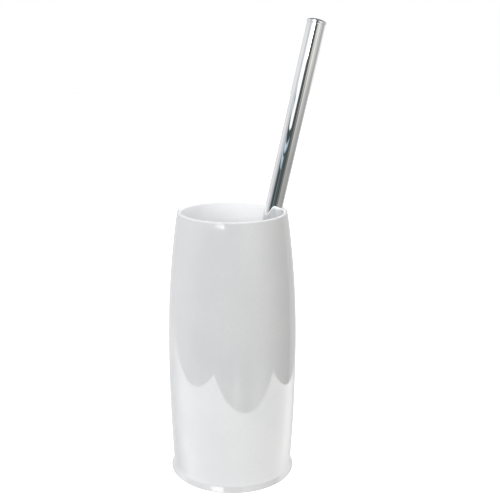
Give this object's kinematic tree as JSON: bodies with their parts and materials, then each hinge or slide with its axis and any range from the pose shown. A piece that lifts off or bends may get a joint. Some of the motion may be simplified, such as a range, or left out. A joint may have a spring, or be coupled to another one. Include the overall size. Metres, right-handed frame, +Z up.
{
  "type": "toilet brush holder with brush",
  "caption": "Open barrel-shaped ceramic holder with a small flared foot, and a toilet brush with a straight chrome tube handle leaning against its mouth.",
  "frame": {"origin": "centre of the anti-slip pad's underside, where the holder stands", "axes": "+Z up along the holder's axis; the brush leans towards +X and a little towards +Y"},
  "size_m": [0.1355, 0.1142, 0.4017],
  "materials": {
    "glaze": "glossy white glaze over a slip-cast body, unglazed on the foot ring",
    "pad": "matt grey foamed rubber, anti-slip",
    "chrome": "polished chrome plate on steel",
    "plug": "black moulded nylon",
    "stud": "rolled thread, bright zinc",
    "washer": "soft translucent grey-white washer",
    "core": "white moulded polypropylene",
    "bristle": null
  },
  "bodies": {
    "holder": {"holder_body": "glaze", "base_pad": "pad"},
    "brush_head": {"brush_core": "core", "bristle_row_1": "bristle", "bristle_row_2": "bristle", "bristle_row_3": "bristle", "bristle_row_4": "bristle", "bristle_row_5": "bristle", "bristle_row_6": "bristle", "bristle_row_7": "bristle", "bristle_row_8": "bristle", "bristle_row_9": "bristle", "bristle_row_10": "bristle", "tip_tufts": "bristle"},
    "washer": {"sealing_washer": "washer"},
    "handle": {"handle_tube": "chrome", "handle_end_cap": "chrome", "tube_plug": "plug", "thread_stud": "stud"}
  },
  "joints": [
    {"name": "brush_lift", "type": "slide", "parent": "holder", "child": "brush_head", "axis": [0.0227, 0.0131, 0.9997], "range_m": [0, 0.25]},
    {"name": "washer_rise", "type": "slide", "parent": "brush_head", "child": "washer", "axis": [0.2126, 0.0299, 0.9767], "range_m": [0, 0.0091]},
    {"name": "handle_unscrew", "type": "hinge", "parent": "washer", "child": "handle", "pos_m": [0.03585, 0.00697, 0.2412], "axis": [0.2126, 0.0299, 0.9767], "range_deg": [0, 1080]}
  ],
  "couplings": [
    {"joint": "washer_rise", "follows": "handle_unscrew", "m_per_rad": 0.00047746}
  ]
}
